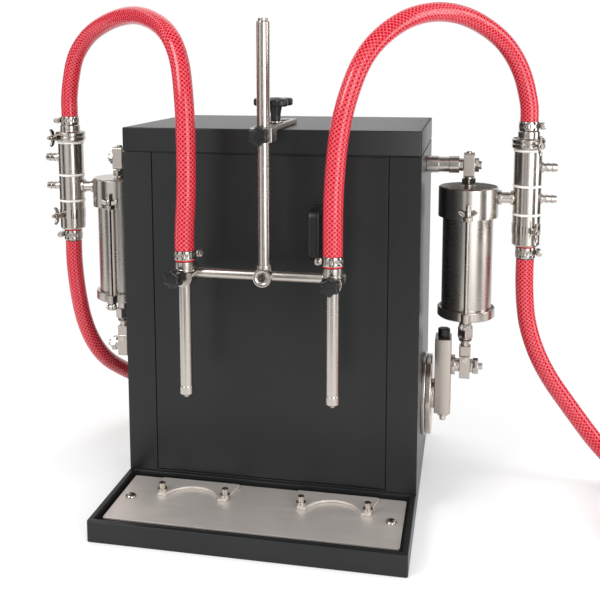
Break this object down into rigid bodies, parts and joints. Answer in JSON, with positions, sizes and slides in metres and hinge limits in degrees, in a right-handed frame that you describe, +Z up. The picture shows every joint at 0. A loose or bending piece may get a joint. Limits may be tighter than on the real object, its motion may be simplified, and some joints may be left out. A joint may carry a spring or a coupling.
{
  "type": "liquid filling machine",
  "caption": "Bench piston filler: black steel cabinet with a crank-driven pump and valve on each side, red braided hoses, and nozzles on an adjustable stand over a drip tray.",
  "frame": {"origin": "on the floor under the middle of the machine's bounding box, the floor hoses left out", "axes": "+Z up, +Y from the drip tray to the back of the cabinet, +X to the right seen from the front"},
  "size_m": [0.9285, 0.607, 0.571],
  "materials": {
    "black_steel": "charcoal powder coat, fine texture, satin",
    "stainless": "turned and polished stainless steel",
    "brushed_plate": "stainless sheet brushed from left to right",
    "black_plastic": "moulded black nylon, satin",
    "grey_casting": "cast aluminium gearbox and motor",
    "red_hose": "clear red PVC hose with a white braid in its wall"
  },
  "bodies": {
    "cabinet": {"cabinet_housing": "black_steel", "top_cover": "black_steel", "front_panel": "black_steel", "back_panel": "black_steel", "panel_handle": "black_plastic", "power_inlet": "black_plastic", "base_tray": "black_steel", "filling_plate": "brushed_plate", "plate_screw_left": "stainless", "plate_screw_right": "stainless", "nest_left": "stainless", "nest_right": "stainless", "crank_bearing_left": "stainless", "crank_bearing_right": "stainless", "gear_motor": "grey_casting", "pivot_shaft_left": "stainless", "pivot_shaft_right": "stainless", "outlet_hose_left": "red_hose", "outlet_hose_right": "red_hose", "suction_hose_left": "red_hose", "suction_hose_right": "red_hose", "suction_coil_left": "red_hose", "suction_coil_right": "red_hose"},
    "rocker": {"power_rocker": "black_plastic"},
    "speed_dial": {"speed_knob": "black_plastic"},
    "crank": {"crank_shaft": "stainless", "crank_disc_left": "stainless", "crank_disc_right": "stainless", "stroke_adjuster_left": "stainless", "stroke_adjuster_right": "stainless"},
    "adjuster_screw_left": {"adjuster_screw_left": "stainless"},
    "crank_slider_left": {"crank_slider_left": "stainless"},
    "adjuster_screw_right": {"adjuster_screw_right": "stainless"},
    "crank_slider_right": {"crank_slider_right": "stainless"},
    "pump_left": {"pump_head_left": "stainless", "pump_barrel_left": "stainless", "pump_base_left": "stainless", "valve_body_left": "stainless", "valve_outlet_left": "stainless"},
    "plunger_left": {"piston_left": "stainless", "rod_end_left": "stainless"},
    "pump_right": {"pump_head_right": "stainless", "pump_barrel_right": "stainless", "pump_base_right": "stainless", "valve_body_right": "stainless", "valve_outlet_right": "stainless"},
    "plunger_right": {"piston_right": "stainless", "rod_end_right": "stainless"},
    "stand": {"stand_bar": "stainless"},
    "rail_clamp": {"rail_knob": "black_plastic"},
    "post": {"stand_post": "stainless", "cross_bar": "stainless"},
    "post_clamp": {"post_knob": "black_plastic"},
    "nozzle_clamp_left": {"nozzle_clamp_left": "stainless"},
    "nozzle_left": {"nozzle_left": "stainless"},
    "nozzle_knob_left": {"nozzle_knob_left": "black_plastic"},
    "nozzle_clamp_right": {"nozzle_clamp_right": "stainless"},
    "nozzle_right": {"nozzle_right": "stainless"},
    "nozzle_knob_right": {"nozzle_knob_right": "black_plastic"}
  },
  "joints": [
    {"name": "rocker_tilt", "type": "hinge", "parent": "cabinet", "child": "rocker", "pos_m": [0.095, 0.17, 0.087], "axis": [1, 0, 0], "range_deg": [-18, 0]},
    {"name": "speed_turn", "type": "hinge", "parent": "cabinet", "child": "speed_dial", "pos_m": [0.035, 0.1811, 0.07], "axis": [0, 1, 0], "range_deg": [-135, 135]},
    {"name": "crank_turn", "type": "hinge", "parent": "cabinet", "child": "crank", "pos_m": [0, 0.0541, 0.101], "axis": [1, 0, 0], "continuous": true},
    {"name": "adjuster_turn_left", "type": "hinge", "parent": "crank", "child": "adjuster_screw_left", "pos_m": [-0.19425, 0.0541, 0.127], "axis": [0, 0, 1], "range_deg": [-6850, 2890]},
    {"name": "crank_slide_left", "type": "slide", "parent": "crank", "child": "crank_slider_left", "axis": [0, 0, 1], "range_m": [-0.038, 0.016]},
    {"name": "adjuster_turn_right", "type": "hinge", "parent": "crank", "child": "adjuster_screw_right", "pos_m": [0.19425, 0.0541, 0.127], "axis": [0, 0, 1], "range_deg": [-6850, 2890]},
    {"name": "crank_slide_right", "type": "slide", "parent": "crank", "child": "crank_slider_right", "axis": [0, 0, 1], "range_m": [-0.038, 0.016]},
    {"name": "pump_swing_left", "type": "hinge", "parent": "cabinet", "child": "pump_left", "pos_m": [-0.2195, 0.0541, 0.385], "axis": [1, 0, 0], "range_deg": [-8, 8], "deforming": ["outlet_hose_left", "suction_hose_left"]},
    {"name": "piston_slide_left", "type": "slide", "parent": "pump_left", "child": "plunger_left", "axis": [0, 0, 1], "range_m": [-0.0766, 0]},
    {"name": "pump_swing_right", "type": "hinge", "parent": "cabinet", "child": "pump_right", "pos_m": [0.2195, 0.0541, 0.385], "axis": [1, 0, 0], "range_deg": [-8, 8], "deforming": ["outlet_hose_right", "suction_hose_right"]},
    {"name": "piston_slide_right", "type": "slide", "parent": "pump_right", "child": "plunger_right", "axis": [0, 0, 1], "range_m": [-0.0766, 0]},
    {"name": "stand_slide", "type": "slide", "parent": "cabinet", "child": "stand", "axis": [0, -1, 0], "range_m": [-0.012, 0.045], "deforming": ["outlet_hose_left", "outlet_hose_right"]},
    {"name": "rail_knob_turn", "type": "hinge", "parent": "cabinet", "child": "rail_clamp", "pos_m": [0.007, -0.0449, 0.44], "axis": [0, 0, 1], "range_deg": [0, 720]},
    {"name": "post_height", "type": "slide", "parent": "stand", "child": "post", "axis": [0, 0, 1], "range_m": [-0.09, 0.07], "deforming": ["outlet_hose_left", "outlet_hose_right"]},
    {"name": "post_knob_turn", "type": "hinge", "parent": "stand", "child": "post_clamp", "pos_m": [0.007, -0.1189, 0.4313], "axis": [0, -1, 0], "range_deg": [0, 720]},
    {"name": "nozzle_spacing_left", "type": "slide", "parent": "post", "child": "nozzle_clamp_left", "axis": [1, 0, 0], "range_m": [0, 0.03], "deforming": ["outlet_hose_left"]},
    {"name": "nozzle_height_left", "type": "slide", "parent": "nozzle_clamp_left", "child": "nozzle_left", "axis": [0, 0, 1], "range_m": [0, 0.04], "deforming": ["outlet_hose_left"]},
    {"name": "nozzle_knob_turn_left", "type": "hinge", "parent": "nozzle_clamp_left", "child": "nozzle_knob_left", "pos_m": [-0.0778, -0.1175, 0.279], "axis": [-0.3429, -0.9394, 0], "range_deg": [0, 720]},
    {"name": "nozzle_spacing_right", "type": "slide", "parent": "post", "child": "nozzle_clamp_right", "axis": [-1, 0, 0], "range_m": [0, 0.03], "deforming": ["outlet_hose_right"]},
    {"name": "nozzle_height_right", "type": "slide", "parent": "nozzle_clamp_right", "child": "nozzle_right", "axis": [0, 0, 1], "range_m": [0, 0.04], "deforming": ["outlet_hose_right"]},
    {"name": "nozzle_knob_turn_right", "type": "hinge", "parent": "nozzle_clamp_right", "child": "nozzle_knob_right", "pos_m": [0.0832, -0.1175, 0.279], "axis": [0, -1, 0], "range_deg": [0, 720]}
  ],
  "couplings": [
    {"joint": "adjuster_turn_left", "follows": "crank_slide_left", "rad_per_m": 3141.6},
    {"joint": "adjuster_turn_right", "follows": "crank_slide_right", "rad_per_m": 3141.6}
  ]
}
